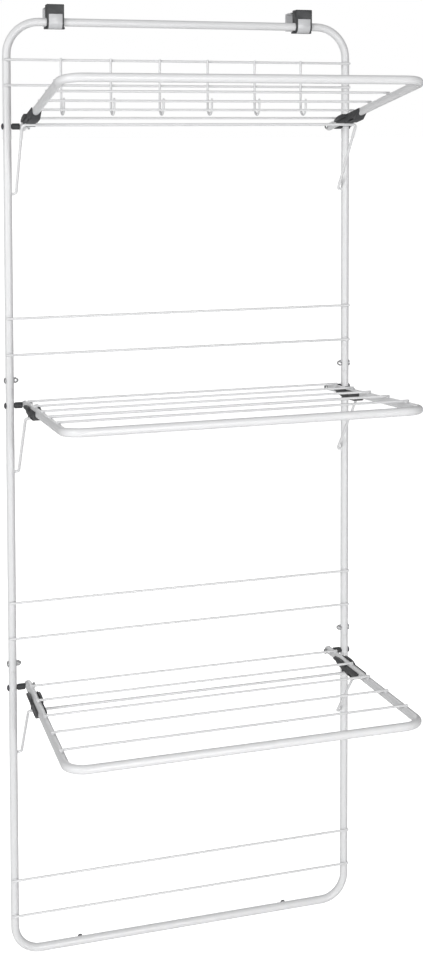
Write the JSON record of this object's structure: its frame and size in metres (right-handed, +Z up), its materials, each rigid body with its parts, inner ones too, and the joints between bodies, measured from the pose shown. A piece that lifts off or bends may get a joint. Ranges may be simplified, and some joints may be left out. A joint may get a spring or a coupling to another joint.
{
  "type": "over-door clothes drying rack",
  "caption": "Tubular steel rack that hangs on a door, with folding wire trays on swinging support bails, a hanger rail with hooks and back wires for towels.",
  "frame": {"origin": "on the door's top front edge, midway between the two door hooks: the door's top is z = 0 and its front face is y = 0", "axes": "+X to the right as seen from in front, -Y out of the door towards the user, +Z up"},
  "size_m": [0.5662, 0.4393, 1.4823],
  "materials": {
    "white_powder_coat": "white powder coat, satin",
    "grey_painted_steel": "light grey paint, satin",
    "dark_grey_plastic": "moulded, fine grain",
    "light_grey_plastic": "moulded, satin",
    "zinc_plated_steel": "bright zinc plate",
    "dark_zinc_steel": "dark plated",
    "grey_rubber": "matt"
  },
  "bodies": {
    "frame": {"upper_frame_tube": "white_powder_coat", "middle_upright_left": "white_powder_coat", "middle_upright_right": "white_powder_coat", "lower_frame_tube": "white_powder_coat", "rail_wire_upper": "white_powder_coat", "rail_wire_lower": "white_powder_coat", "garment_hook_1": "white_powder_coat", "garment_hook_2": "white_powder_coat", "garment_hook_3": "white_powder_coat", "garment_hook_4": "white_powder_coat", "garment_hook_5": "white_powder_coat", "garment_hook_6": "white_powder_coat", "back_wire_1": "white_powder_coat", "back_wire_2": "white_powder_coat", "back_wire_3": "white_powder_coat", "back_wire_4": "white_powder_coat", "back_wire_5": "white_powder_coat", "back_wire_6": "white_powder_coat", "joint_bolts": "zinc_plated_steel", "joint_nuts": "zinc_plated_steel", "pivot_bolts": "dark_zinc_steel", "pivot_nuts": "zinc_plated_steel", "pivot_spacers": "dark_grey_plastic", "door_buffers": "grey_rubber"},
    "tray_1": {"tray_1_frame": "white_powder_coat", "tray_1_wire_1": "white_powder_coat", "tray_1_wire_2": "white_powder_coat", "tray_1_wire_3": "white_powder_coat", "tray_1_wire_4": "white_powder_coat", "tray_1_wire_5": "white_powder_coat", "tray_1_bracket_left": "dark_grey_plastic", "tray_1_bracket_right": "dark_grey_plastic", "tray_1_end_plugs": "light_grey_plastic"},
    "bail_1": {"support_bail_1": "white_powder_coat"},
    "tray_2": {"tray_2_frame": "white_powder_coat", "tray_2_wire_1": "white_powder_coat", "tray_2_wire_2": "white_powder_coat", "tray_2_wire_3": "white_powder_coat", "tray_2_wire_4": "white_powder_coat", "tray_2_wire_5": "white_powder_coat", "tray_2_bracket_left": "dark_grey_plastic", "tray_2_bracket_right": "dark_grey_plastic", "tray_2_end_plugs": "light_grey_plastic"},
    "bail_2": {"support_bail_2": "white_powder_coat"},
    "tray_3": {"tray_3_frame": "white_powder_coat", "tray_3_wire_1": "white_powder_coat", "tray_3_wire_2": "white_powder_coat", "tray_3_wire_3": "white_powder_coat", "tray_3_wire_4": "white_powder_coat", "tray_3_wire_5": "white_powder_coat", "tray_3_bracket_left": "dark_grey_plastic", "tray_3_bracket_right": "dark_grey_plastic", "tray_3_end_plugs": "light_grey_plastic"},
    "bail_3": {"support_bail_3": "white_powder_coat"},
    "hook_left": {"door_hook_left": "grey_painted_steel", "hook_sleeve_left": "dark_grey_plastic"},
    "hook_right": {"door_hook_right": "grey_painted_steel", "hook_sleeve_right": "dark_grey_plastic"}
  },
  "joints": [
    {"name": "tray_1_fold", "type": "hinge", "parent": "frame", "child": "tray_1", "pos_m": [0, -0.01125, -0.1814], "axis": [1, 0, 0], "range_deg": [0, 95.9]},
    {"name": "bail_1_swing", "type": "hinge", "parent": "frame", "child": "bail_1", "pos_m": [0, -0.01125, -0.2844], "axis": [1, 0, 0], "range_deg": [0, 140.5]},
    {"name": "tray_2_fold", "type": "hinge", "parent": "frame", "child": "tray_2", "pos_m": [0, -0.01125, -0.6094], "axis": [1, 0, 0], "range_deg": [0, 92]},
    {"name": "bail_2_swing", "type": "hinge", "parent": "frame", "child": "bail_2", "pos_m": [0, -0.01125, -0.7124], "axis": [1, 0, 0], "range_deg": [0, 137.2]},
    {"name": "tray_3_fold", "type": "hinge", "parent": "frame", "child": "tray_3", "pos_m": [0, -0.01125, -1.0504], "axis": [1, 0, 0], "range_deg": [0, 92]},
    {"name": "bail_3_swing", "type": "hinge", "parent": "frame", "child": "bail_3", "pos_m": [0, -0.01125, -1.1534], "axis": [1, 0, 0], "range_deg": [0, 137.2]},
    {"name": "hook_left_slide", "type": "slide", "parent": "frame", "child": "hook_left", "axis": [1, 0, 0], "range_m": [-0.008, 0.15]},
    {"name": "hook_right_slide", "type": "slide", "parent": "frame", "child": "hook_right", "axis": [1, 0, 0], "range_m": [-0.15, 0.008]}
  ],
  "couplings": [
    {"joint": "bail_1_swing", "follows": "tray_1_fold", "ratio": 1.4602},
    {"joint": "bail_2_swing", "follows": "tray_2_fold", "ratio": 1.4856},
    {"joint": "bail_3_swing", "follows": "tray_3_fold", "ratio": 1.4856}
  ]
}
